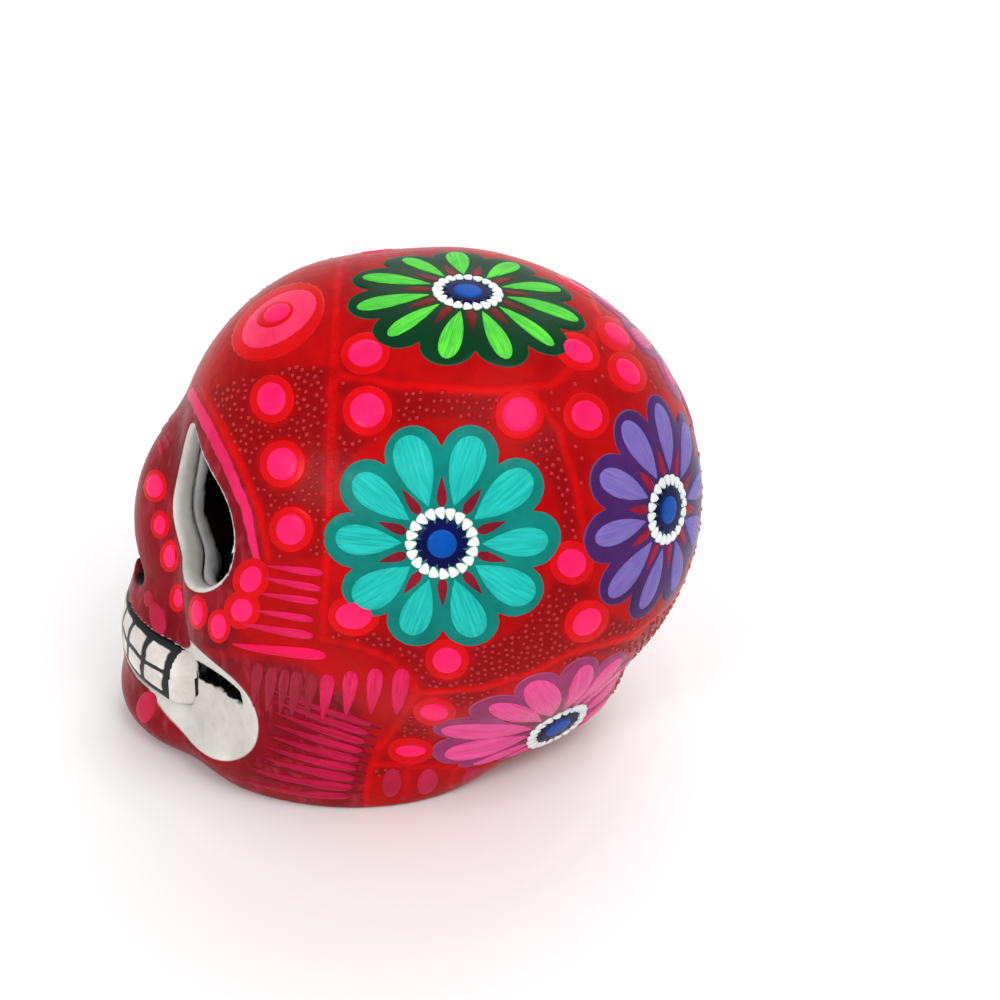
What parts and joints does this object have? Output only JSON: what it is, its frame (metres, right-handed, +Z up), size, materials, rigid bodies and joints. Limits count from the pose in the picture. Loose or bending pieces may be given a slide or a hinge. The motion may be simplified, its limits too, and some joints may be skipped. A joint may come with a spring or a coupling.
{
  "type": "sugar skull",
  "caption": "Hollow hand-painted clay skull ornament with open eyes, nose and mouth slots, a strip of painted teeth and a flat foot with a vent.",
  "frame": {"origin": "middle of the whole skull's outline on the surface that it stands on", "axes": "+Z up, the face looks along -Y, the skull's own left side is at +X"},
  "size_m": [0.112, 0.1431, 0.1254],
  "materials": {
    "red_gloss": "gloss",
    "white_gloss": "gloss",
    "bare_clay": "matte",
    "pink_paint": "gloss",
    "turquoise_paint": "gloss",
    "green_paint": "gloss",
    "purple_paint": "gloss",
    "blue_paint": "gloss",
    "black_paint": "gloss"
  },
  "bodies": {
    "root": {"face_half": "red_gloss", "back_half": "red_gloss", "tooth_block": "white_gloss", "eye_collar_left": "white_gloss", "eye_collar_right": "white_gloss", "seam_coil": "bare_clay"}
  },
  "joints": []
}
